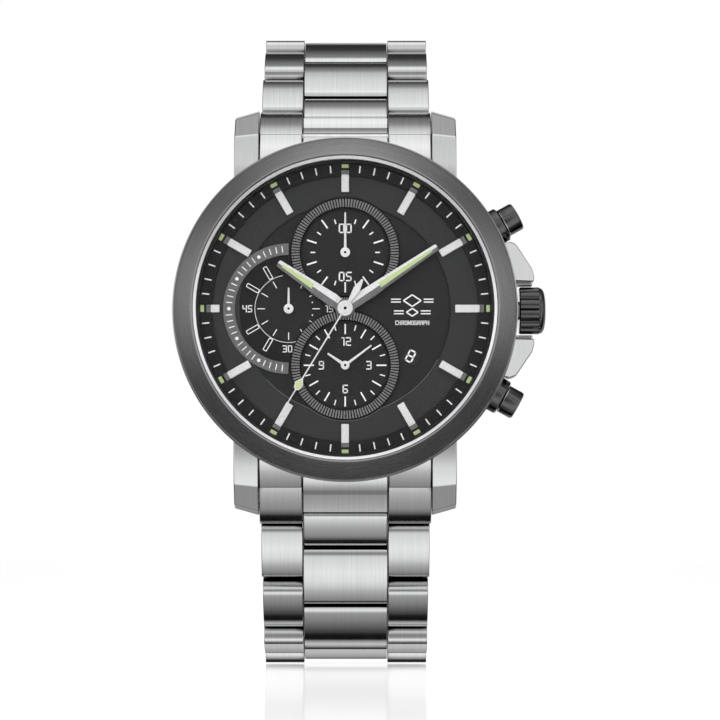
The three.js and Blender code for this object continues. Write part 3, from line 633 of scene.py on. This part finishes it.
def make_dial():
    """The charcoal dial: an inner field sunk below an outer one, and a date window set on it."""
    plate = Solids().turned([(0.95, -8.42), (0.95, DIAL_FACE), (18.95, DIAL_FACE), (18.95, -8.42)])
    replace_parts(build("dial_face", plate, DIAL, "head"), "dial_plate")

    def step_reach(clock):
        return max(STEP_R, counter_reach(clock), counter_reach(180 - clock))

    def step_line(first, last, width):
        near = [on_dial(step_reach(i) - width, i) for i in range(first, last + 1)]
        far = [on_dial(step_reach(i) + 0.02, i) for i in range(last, first - 1, -1)]
        return Solids().slab(near + far, DIAL_FACE - 0.18, DIAL_FACE - 0.02)
    inner = [on_dial(step_reach(i), i) for i in range(360)]
    outer = [on_dial(17.2, i) for i in range(360)]
    raised = Solids().frame(inner, outer, DIAL_FACE - 0.16, DIAL_FACE + 0.02)
    build("dial_outer_field", raised, DIAL_OUTER, "head", bevel=0.03, segments=2)
    # Painted light on the step: a black line painted as its shadow round the upper part, and a silver line painted
    # as its highlight round the lower part.
    build("dial_step_painted_shadow", step_line(-62, 118, 0.11), BLACK_RING, "head")
    build("dial_step_painted_highlight", step_line(119, 228, 0.04), SILVER, "head")
    make_date_window(on_dial(10.35, 126))


def make_date_window(centre):
    """A raised frame round a black field with a white number."""
    angle = math.radians(DATE_LEAN)

    def at(x, z):
        return (centre[0] + x * math.cos(angle) + z * math.sin(angle),
                centre[1] - x * math.sin(angle) + z * math.cos(angle))

    def rounded(half_w, half_h, radius):
        points = []
        for sx, sz, start in ((1, 1, 0), (-1, 1, 90), (-1, -1, 180), (1, -1, 270)):
            corner = (sx * (half_w - radius), sz * (half_h - radius))
            points += [at(x, z) for x, z in arc(corner, radius, start, start + 90, 5)]
        return points
    field = Solids().slab(rounded(1.05, 0.95, 0.25), DIAL_FACE - 0.012, DIAL_FACE + 0.1)
    build("date_field", field, DATE_BLACK, "head")
    rim = Solids().frame(rounded(1.05, 0.95, 0.25), rounded(1.17, 1.07, 0.32),
                         DIAL_FACE - 0.07, DIAL_FACE + 0.02)
    build("date_frame", rim, BLACK_METAL, "head", bevel=0.02)
    number = Solids()
    print_text(number, "8", centre, 1.45, 0.2, DATE_LEAN)
    build("date_number", number, WHITE, "head")


def make_chapter_ring():
    """The sloping black ring with minute ticks and luminous hour plots."""
    ring = Solids().turned([(17.05, -9.05), (17.05, -9.55), (17.1, -9.6), (18.5, -9.6), (18.62, -9.7),
                            (18.72, -10.6), (18.95, -10.65), (18.95, -9.05)])
    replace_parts(build("minute_ring", ring, BLACK_RING, "head"), "chapter_ring")
    ticks = Solids()
    for minute in range(60):
        if minute % 5:
            tick(ticks, (0, 0), minute * 6, 17.5, 18.42, 0.17, -9.64, -9.58)
    build("minute_ticks", ticks, WHITE, "head")
    plots = Solids()
    for hour in range(12):
        tick(plots, (0, 0), hour * 30, 18.08, 18.55, 0.88, -9.70, -9.58)
    build("hour_plots", plots, LUME, "head", bevel=0.03)


def make_markers():
    """Applied hour bars whose tops take the painted-lit hand metal, with painted shade on the facet at the outer
    end.
    """
    shortened = {0: 15.0, 180: 14.8, 270: 16.1}
    bars = Solids()
    painted_shade_ends = Solids()
    for hour in range(12):
        clock = hour * 30
        inner = shortened.get(clock, 14.1)
        tick(bars, (0, 0), clock, inner, 17.25, 0.98, -9.66, DIAL_FACE)
        # Painted shade: a dark piece over each marker's outer end facet.
        tick(painted_shade_ends, (0, 0), clock, 17.27, 17.78, 1.0, -9.7, -9.6)
    build("hour_markers", bars, HAND_PAINTED_LIT, "head", bevel=0.1, segments=2)
    build("hour_marker_painted_shade_ends", painted_shade_ends, HAND_PAINTED_SHADE, "head", bevel=0.05, segments=2)


def coin_ring(inner, outer, teeth, centre):
    """A raised ring whose face is cut by radial grooves, with plain rims."""
    ring = Solids()
    front, rear = DIAL_FACE - 0.42, DIAL_FACE
    for i in range(teeth):
        step = 360 / teeth
        a, b = i * step, (i + 0.55) * step
        ring.slab([on_dial(inner + 0.12, a, centre), on_dial(outer - 0.1, a, centre),
                   on_dial(outer - 0.1, b, centre), on_dial(inner + 0.12, b, centre)], front, rear)
    return ring


def make_counter_rings():
    """Coin-edged rings round the upper and lower counters, each with a sunk floor inside."""
    for name, z in (("top", COUNTER_OFFSET), ("bottom", -COUNTER_OFFSET)):
        base = Solids().turned([(5.58, DIAL_FACE + 0.02), (5.58, DIAL_FACE - 0.3), (5.66, DIAL_FACE - 0.36),
                                (5.76, DIAL_FACE - 0.3), (5.8, DIAL_FACE - 0.24), (6.9, DIAL_FACE - 0.24),
                                (6.94, DIAL_FACE - 0.3), (7.0, DIAL_FACE - 0.25), (7.0, DIAL_FACE + 0.02)], 160)
        ring = build(f"counter_base_{name}", base, BLACK_RING, "head", place=move(z=z))
        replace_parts(ring, f"counter_ring_{name}")
        build(f"counter_teeth_{name}", coin_ring(5.72, 6.98, 112, (0.0, z)), COIN, "head")
        floor = Solids().turned([(0.6, DIAL_FACE + 0.02), (0.6, DIAL_FACE - 0.015), (5.55, DIAL_FACE - 0.015),
                                 (5.55, DIAL_FACE + 0.02)], 128)
        build(f"counter_floor_{name}", floor, COUNTER, "head", place=move(z=z))


def half_ring(inner, outer, front, rear):
    """The left half of a flat ring round the left counter."""
    centre = (-COUNTER_OFFSET, 0.0)
    return Solids().slab(arc(centre, outer, 90, 270, 72) + arc(centre, inner, 270, 90, 72), front, rear)


def make_left_counter():
    """The left counter: half a silver scale, a sunk black track with boxes, and a charcoal middle."""
    centre = (-COUNTER_OFFSET, 0.0)
    scale = half_ring(6.9, 8.4, DIAL_FACE - 0.3, DIAL_FACE + 0.02)
    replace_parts(build("left_scale", scale, SILVER, "head", bevel=0.06), "counter_ring_left")
    sunk = Solids().slab(arc(centre, 6.88, 50, 310, 96), DIAL_FACE - 0.012, DIAL_FACE + 0.02)
    build("left_track", sunk, BLACK_RING, "head")
    middle = Solids().turned([(0.6, DIAL_FACE + 0.02), (0.6, DIAL_FACE - 0.06), (4.25, DIAL_FACE - 0.06),
                              (4.32, DIAL_FACE + 0.02)], 128)
    build("left_middle", middle, COUNTER, "head", place=move(x=centre[0]))
    front = DIAL_FACE - 0.33
    marks = Solids()
    for minute in range(31, 60):
        clock = minute * 6
        if minute % 5:
            tick(marks, centre, clock, 7.25, 8.05, 0.11, front, DIAL_FACE - 0.28)
        else:
            marks.slab(arc(on_dial(7.65, clock, centre), 0.22, 0, 345, 23), front, DIAL_FACE - 0.28)
    middle_front = DIAL_FACE - 0.085
    for i in range(1, 12):
        tick(marks, centre, i * 30, 3.05, 4.0, 0.11, middle_front, DIAL_FACE)
    for clock in (75, 105, 120):
        marks.slab(arc(on_dial(3.15, clock, centre), 0.09, 0, 330, 11), middle_front, DIAL_FACE)
    for minute in (35, 40, 50, 55):
        outline_box(marks, centre, minute * 6, 4.45, 6.15, 0.46, 0.1)
    rim = arc(centre, 4.36, 100, 345, 96) + arc(centre, 4.30, 345, 100, 96)
    marks.slab(rim, DIAL_FACE - 0.05, DIAL_FACE)
    print_text(marks, "45", (centre[0] - 5.3, 0.0), 0.78, 0.13)
    print_text(marks, "30", (centre[0] - 0.15, -5.15), 0.78, 0.13)
    print_text(marks, "15", (centre[0] + 5.1, 0.0), 0.78, 0.13)
    build("left_marks", marks, WHITE, "head")


def outline_box(solids, centre, clock, inner, outer, width, stroke):
    """A hollow rectangle that points to a counter's middle."""
    angle = math.radians(clock)
    across = Vector((math.cos(angle), -math.sin(angle))) * width / 2
    near, far = Vector(on_dial(inner, clock, centre)), Vector(on_dial(outer, clock, centre))
    corners = [tuple(p) for p in (near - across, near + across, far + across, far - across)]
    for a, b in zip(corners, corners[1:] + corners[:1]):
        solids.bar(a, b, stroke, PRINT_FRONT, PRINT_REAR)


def make_counter_marks():
    """Ticks and numbers of the upper and lower counters."""
    marks = Solids()
    top = (0.0, COUNTER_OFFSET)
    for i in range(10):
        tick(marks, top, i * 36, 3.85, 5.15, 0.2)
        tick(marks, top, i * 36 + 18, 3.85, 4.45, 0.16)
    print_text(marks, "00", (0.0, top[1] + 3.1), 1.05, 0.17)
    print_text(marks, "05", (0.0, top[1] - 3.1), 1.05, 0.17)
    bottom = (0.0, -COUNTER_OFFSET)
    for i in range(48):
        if i % 4 == 0:
            tick(marks, bottom, i * 7.5, 4.0, 5.3, 0.18)
        elif i % 2 == 0:
            tick(marks, bottom, i * 7.5, 4.6, 5.3, 0.14)
    for text, clock in (("12", 0), ("3", 90), ("6", 180), ("9", 270)):
        print_text(marks, text, on_dial(3.05, clock, bottom), 0.95, 0.15)
    build("counter_marks", marks, WHITE, "head")


def make_emblem():
    """A plain mark right of the middle: two lozenges between fine bars, over the watch's kind in capitals."""
    mark = Solids()
    for x, z, half in ((8.6, 1.05, 0.75), (8.6, -0.45, 0.5)):
        corners = [(x - half * 1.5, z), (x, z + half), (x + half * 1.5, z), (x, z - half)]
        for a, b in zip(corners, corners[1:] + corners[:1]):
            mark.bar(a, b, 0.17, PRINT_FRONT, PRINT_REAR)
        for side in (-1, 1):
            for rise in (-0.18, 0.18):
                start = x + side * (half * 1.5 + 0.35)
                mark.bar((start, z + rise), (start + side * 1.25, z + rise), 0.15, PRINT_FRONT, PRINT_REAR)
    print_text(mark, "CHRONOGRAPH", (8.6, -1.8), 0.46, 0.1)
    build("dial_emblem", mark, WHITE, "head")


# ---- hands --------------------------------------------------------------------------------
def faceted_hand(name, node, body, clock, length, root, tip, y_front, y_rear, lume, hub):
    """A baton hand with a ridge: one flank painted lit and one painted in shade, and a luminous inset along the
    ridge.
    """
    ridge = y_front - 0.1
    spin = turn(clock, "Y")
    for side, material in ((-1, HAND_PAINTED_LIT), (1, HAND_PAINTED_SHADE)):
        bright = material is HAND_PAINTED_LIT
        # The flanks take the painted-lit and painted-shade copies of the hand metal, swapped for hands past six
        # o'clock so the painted light keeps coming from one side of the dial.
        if clock < 180:
            kind = "bright" if bright else "shaded"
        else:
            kind = "shaded" if bright else "bright"
            material = HAND_PAINTED_SHADE if bright else HAND_PAINTED_LIT
        across = [(0.0, 0.6, ridge), (side * 0.7, 0.6, y_front), (side * root / 2, 2.0, y_front),
                  (side * tip / 2, length - 0.12, y_front), (side * (tip / 2 - 0.15), length, y_front),
                  (0.0, length, y_front), (0.0, length - 0.3, ridge)]
        front = [(x, y, z) for x, z, y in across]
        rear = [(x, y_rear, z) for x, _, z in front]
        piece = build(f"{name}_{kind}", Solids().skin(front, rear), material, body, 15, spin)
        if bright:
            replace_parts(piece, node)
    near, far = lume
    inset = Solids().slab([(-0.34, near), (0.34, near), (0.17, far), (-0.17, far)], ridge - 0.03, ridge + 0.08)
    build(f"{name}_lume", inset, LUME, body, place=spin, bevel=0.03)
    # The hub takes the painted-shade copy of the hand metal.
    boss = Solids().turned([(0.5, y_rear), (hub, y_rear), (hub, y_front), (hub - 0.08, y_front - 0.06),
                            (0.5, y_front - 0.06)], 64)
    build(f"{name}_hub", boss, HAND_PAINTED_SHADE, body)
    arbor = Solids().turned([(0.0, y_rear), (0.4, y_rear), (0.4, -7.4), (0.0, -7.4)], 24)
    build(f"{name}_arbor", arbor, POLISHED, body)


def make_seconds_hand():
    """A needle with a luminous lozenge and a leaf-shaped tail."""
    spin = turn(SECONDS_CLOCK, "Y")
    needle = Solids()
    needle.slab([(-0.1, 0.6), (0.1, 0.6), (0.07, 15.1), (-0.07, 15.1)], -10.42, -10.3)
    needle.slab([(-0.13, -0.5), (-0.45, -2.9), (-0.12, -4.3), (0.12, -4.3), (0.45, -2.9), (0.13, -0.5)],
                -10.42, -10.3)
    needle.turned([(0.2, -10.3), (0.98, -10.3), (0.98, -10.46), (0.9, -10.53), (0.66, -10.54), (0.62, -10.47),
                   (0.55, -10.47), (0.52, -10.56), (0.25, -10.6), (0.2, -10.5)], 64)
    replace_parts(build("seconds_needle", needle, HAND_PAINTED_LIT, "seconds_hand_body", place=spin), "seconds_hand")
    pip = Solids().turned([(0.0, -10.3), (0.2, -10.3), (0.2, -10.5), (0.0, -10.5)], 24)
    build("seconds_pip", pip, BLACK_METAL, "seconds_hand_body")
    rim = Solids().slab([(0.0, 10.4), (0.56, 11.3), (0.4, 12.0), (0.0, 12.3), (-0.4, 12.0), (-0.56, 11.3)],
                        -10.46, -10.34)
    build("seconds_lozenge_rim", rim, HAND_PAINTED_LIT, "seconds_hand_body", place=spin)
    lume = Solids().slab([(0.0, 10.65), (0.43, 11.32), (0.3, 11.88), (0.0, 12.08), (-0.3, 11.88), (-0.43, 11.32)],
                         -10.5, -10.4)
    build("seconds_lozenge", lume, LUME, "seconds_hand_body", place=spin)


def small_hand(name, node, body, centre, clock, length, width, depth, hub, tail=0.0):
    """A plain tapering counter hand with a ringed hub and a dark pivot."""
    place = move(centre[0], 0.0, centre[1]) @ turn(clock, "Y")
    hand = Solids()
    hand.slab([(-width / 2, -tail), (width / 2, -tail), (width * 0.28, length), (-width * 0.28, length)],
              depth, depth + 0.1)
    hand.turned([(0.16, depth + 0.1), (hub, depth + 0.1), (hub, depth - 0.06), (hub - 0.07, depth - 0.1),
                 (0.16, depth - 0.1)], 48)
    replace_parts(build(f"{name}_needle", hand, HAND_PAINTED_LIT, body, place=place), node)
    pip = Solids().turned([(0.0, depth + 0.1), (0.16, depth + 0.1), (0.16, depth - 0.04), (0.0, depth - 0.04)], 24)
    build(f"{name}_pip", pip, BLACK_METAL, body, place=place)


def make_hands():
    """The centre hands and the counters' hands, set to the time they show."""
    faceted_hand("hour", "hour_hand", "hour_hand_body", HOUR_CLOCK, 10.4, 1.75, 0.9, -9.78, -9.66,
                 (5.0, 9.7), 1.25)
    faceted_hand("minute", "minute_hand", "minute_hand_body", MINUTE_CLOCK, 14.2, 1.6, 0.85, -10.1, -9.98,
                 (5.3, 13.3), 1.1)
    make_seconds_hand()
    upper, left, lower = (0.0, COUNTER_OFFSET), (-COUNTER_OFFSET, 0.0), (0.0, -COUNTER_OFFSET)
    small_hand("top_counter", "counter_hand_top", "top_counter_body", upper, 0, 5.1, 0.34, -9.36, 0.62)
    small_hand("left_counter", "counter_hand_left", "left_counter_body", left, 0, 2.7, 0.34, -9.36, 0.62)
    small_hand("small_hour", "small_hour_hand", "small_hour_body", lower, SMALL_HOUR_CLOCK, 2.7, 0.42, -9.24, 0.56)
    small_hand("small_minute", "small_minute_hand", "small_minute_body", lower, SMALL_MINUTE_CLOCK, 4.2, 0.34,
               -9.45, 0.5)


# ---- crown and pushers --------------------------------------------------------------------
TO_CROWN_SIDE = turn(-90, "Z")


def shaft_place(angle):
    """Moves a solid turned about +Y onto a crown or pusher axis, angle degrees above three o'clock."""
    return turn(-angle, "Y") @ move(y=STEM_DEPTH) @ TO_CROWN_SIDE


def make_crown():
    """A fluted grip with rounded ribs, a plain rim and a domed cap."""
    ribs = Solids()
    flutes = 12
    samples = flutes * 16

    def ring_at(x, scale):
        points = []
        for i in range(samples):
            angle = 2 * math.pi * i / samples
            wave = abs(math.sin(flutes * angle / 2)) ** 0.6
            radius = (2.62 + 0.46 * wave) * scale
            points.append((x, STEM_DEPTH + radius * math.cos(angle), radius * math.sin(angle)))
        return points
    levels = [(22.45, 0.955), (22.6, 1.0), (25.0, 1.0), (25.15, 0.965)]
    loops = [ring_at(x, scale) for x, scale in levels]
    for a, b in zip(loops, loops[1:]):
        ribs.skin(a, b)
    grip = build("crown_grip", ribs, BLACK_METAL, "crown_body", 50)
    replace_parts(grip, "crown")
    cap = Solids().turned([(0.0, 24.9), (2.85, 24.9), (2.92, 25.0), (2.92, 25.25), (2.8, 25.45), (2.4, 25.68),
                           (1.6, 25.83), (0.0, 25.9)], 128)
    build("crown_cap", cap, BLACK_METAL, "crown_body", place=shaft_place(0))


def make_pushers():
    """Cupped collars, and caps that slide into them."""
    for name, angle in (("upper", PUSHER_ANGLE), ("lower", -PUSHER_ANGLE)):
        place = shaft_place(angle)
        collar = Solids().turned([
            (0.82, 17.4), (1.55, 17.4), (1.55, 21.3), (2.25, 21.3), (2.3, 21.4), (2.3, 23.0), (2.24, 23.2),
            (2.1, 23.3), (1.98, 23.25), (1.95, 23.1), (1.95, 22.2), (1.32, 22.1), (1.32, 19.6), (0.82, 19.6)], 96)
        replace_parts(build(f"pusher_collar_{name}", collar, BLACK_METAL, "head", 25, place), f"pusher_tube_{name}")
        cap = Solids().turned([
            (0.0, 18.3), (0.7, 18.3), (0.7, 22.6), (1.25, 22.65), (1.25, 23.3), (1.78, 23.35), (1.86, 23.45),
            (1.86, 25.15), (1.76, 25.4), (1.55, 25.5), (0.0, 25.55)], 96)
        body = f"pusher_{name}_body"
        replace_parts(build(f"pusher_cap_{name}", cap, BLACK_METAL, body, 25, place), f"pusher_{name}")
        band = Solids().turned([(1.5, 23.36), (1.86, 23.38), (1.91, 23.44), (1.86, 23.52), (1.5, 23.52)], 96)
        build(f"pusher_band_{name}", band, POLISHED, body, place=place)


# ---- bracelet -----------------------------------------------------------------------------

def soft_end(t):
    """How far below its peak a link's outer face lies, t running 0 to 1 from head to tail."""
    drop = 0.42 * abs(2 * t - 1) ** 2.2
    if t > 0.55:
        drop += 1.86 * (t - 0.55) ** 2
    if t > 0.93:
        drop += 0.45 * ((t - 0.93) / 0.07) ** 2
    if t < 0.08:
        drop += 0.22 * ((0.08 - t) / 0.08) ** 2
    return drop


def crowned_top(start, end, steps=28):
    """(s, n) points across a link's rounded outer face, rolled off at the tail."""
    points = []
    for i in range(1, steps):
        t = i / steps
        points.append((start + (end - start) * t, TOP_MIDDLE - soft_end(t)))
    return points


def link_outline(head_radius, head_side, tail_radius, tail_side, tail_reach):
    """A link's side outline: a round or hollow head about its own pivot, and an oval tail about the next."""
    head_top = TOP_MIDDLE - soft_end(0)
    tail_top = TOP_MIDDLE - soft_end(1)

    def arc_angle(height, radius, side):
        angle = math.degrees(math.asin(height / radius))
        return angle if side > 0 else 180 - angle
    head = arc((0, 0), head_radius, arc_angle(BOTTOM, head_radius, head_side),
               arc_angle(head_top, head_radius, head_side), 10)
    tail = arc((0, 0), tail_radius, arc_angle(tail_top, tail_radius, tail_side),
               arc_angle(BOTTOM, tail_radius, tail_side), 10)
    tail = [(PITCH + s * tail_reach / tail_radius, n) for s, n in tail]
    return head + crowned_top(head[-1][0], tail[0][0]) + tail


def strap_places(half):
    """The (y, z) pivot and tilt of each link of one half, from the head outwards."""
    dir_z = DIRECTION[half]
    y, z = BAR_DEPTH, dir_z * BAR_Z
    places = []
    for tilt in TILTS[half]:
        places.append((y, z, tilt))
        y += PITCH * math.sin(math.radians(tilt))
        z += dir_z * PITCH * math.cos(math.radians(tilt))
    return places


def make_bracelet():
    """Each link: two sides with a round head, and a centre piece hinged one tail further on."""
    for half, dir_z in DIRECTION.items():
        for number, (y, z, tilt) in enumerate(strap_places(half), start=1):
            place = move(0, y, z) @ turn(-dir_z * tilt, "X")
            body = f"strap_{half}_{number}"
            edge = SIDE_OUT[min(number, len(SIDE_OUT)) - 1]
            side = [(-n, dir_z * s) for s, n in link_outline(2.2, -1, 2.3, -1, 2.6)]
            sides = Solids().prism(side, SIDE_IN, edge).prism(side, -edge, -SIDE_IN)
            piece = build(f"link_sides_{half}_{number}", sides, STEEL, body, 30, place, 0.22)
            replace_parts(piece, f"link_{half}_{number}")
            head_radius = 3.62 if number == 1 else 1.8
            middle = [(-n, dir_z * s) for s, n in link_outline(head_radius, 1, 1.7, 1, 1.35)]
            centre = Solids().prism(middle, -CENTRE_HALF, CENTRE_HALF)
            build(f"link_centre_{half}_{number}", centre, STEEL, body, 30, place, 0.22)


def make_end_links():
    """Two sloping shoulders and a creased tab between each pair of lugs."""
    for half, dir_z in DIRECTION.items():
        tilt = math.radians(TILTS[half][0])

        def at(s, n):
            return (BAR_DEPTH + s * math.sin(tilt) - n * math.cos(tilt),
                    dir_z * (BAR_Z + s * math.cos(tilt) + n * math.sin(tilt)))
        hollow = [at(s, n) for s, n in arc((0, 0), 2.3, HOLLOW_START[half], 210, 10)]
        tip = (hollow[0][0] - 0.35, hollow[0][1])
        root = (-7.7, dir_z * 17.6)
        shoulder = [root]
        for i in range(1, 9):
            t = i / 9
            bow = 0.5 * 4 * t * (1 - t)
            shoulder.append((root[0] + (tip[0] - root[0]) * t - bow, root[1] + (tip[1] - root[1]) * t))
        shoulder += [tip] + hollow + [(-4.3, dir_z * 18.2)]
        shoulders = Solids().prism(shoulder, SIDE_IN, 11.13).prism(shoulder, -11.13, -SIDE_IN)
        piece = build(f"end_link_shoulders_{half}", shoulders, LUG_STEEL, "head", 30, bevel=0.15)
        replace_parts(piece, f"end_link_{half}")
        top = math.degrees(math.asin(1.35 / 3.5))
        tab = [at(s, n) for s, n in arc((0, 0), 3.5, top, -27, 10)]
        crease_depth, crease_z, start_slope, end_slope = CREASE[half]
        length = crease_z - END_ROOT_Z
        centre = []
        for i in range(15):
            t = i / 14
            fall = start_slope * (t - 1) + (end_slope - start_slope) * (t ** 5 - 1) / 5
            centre.append((crease_depth + length * fall, dir_z * (END_ROOT_Z + length * t)))
        for t in (0.04, 0.5, 0.96):
            bow = 0.28 * t * (1 - t)
            centre.append((crease_depth + (tab[0][0] - crease_depth) * t + bow,
                           dir_z * (crease_z + (abs(tab[0][1]) - crease_z) * t)))
        centre += tab + [at(-1.0, BOTTOM), (-2.5, dir_z * 20.6), (-4.3, dir_z * END_ROOT_Z)]
        tab_solid = Solids().prism(centre, -CENTRE_HALF, CENTRE_HALF)
        build(f"end_link_tab_{half}", tab_solid, LUG_STEEL, "head", 12, bevel=0.1)


# ---- clasp --------------------------------------------------------------------------------
def dress(nodes, material, bevel=0.0):
    """Gives carried-over nodes a finish, and a bevel that rounds their edges."""
    for name in nodes:
        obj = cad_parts[name]
        obj.data.materials.clear()
        obj.data.materials.append(material)
        if bevel:
            edge = obj.modifiers.new("bevel", "BEVEL")
            edge.width = bevel * MM
            edge.segments = 2
            edge.limit_method = "ANGLE"
            edge.angle_limit = math.radians(40)
            edge.harden_normals = True


def make_clasp():
    """The clasp keeps its modelled shape, with brushed and polished finishes."""
    dress(["clasp_cover"], STEEL, 0.2)
    dress(["clasp_blade_inner", "clasp_blade_outer"], POLISHED, 0.1)
    dress(["clasp_button_left", "clasp_button_right"], POLISHED, 0.2)


def dress_hidden_parts():
    """Finishes for bars, pins, springs, seals and the movement."""
    dress(["spring_bar_upper", "spring_bar_lower", "clasp_spring_bar", "cover_hinge_pin", "blade_hinge_pin",
           "crown_stem", "crown_tube", "setting_slide", "pusher_spring_upper", "pusher_spring_lower", "battery"],
          POLISHED)
    dress(["movement_ring"], NYLON)
    dress(["caseback_gasket", "crown_gasket"], SEAL)
    dress(["main_plate"], BRASS)
    dress(["motor_coil"], COPPER)
    dress(["date_disc"], DATE_BLACK)


make_camera()
make_world()
soft_box("overhead", (0, -60, 480), (420, 420), 2.4)
soft_box("key", (-160, -400, 300), (260, 260), 0.8)
make_floor()
make_case()
make_bezel()
make_case_back()
make_dial()
make_chapter_ring()
make_markers()
make_counter_rings()
make_left_counter()
make_counter_marks()
make_emblem()
make_hands()
make_crown()
make_pushers()
make_bracelet()
make_end_links()
make_clasp()
dress_hidden_parts()
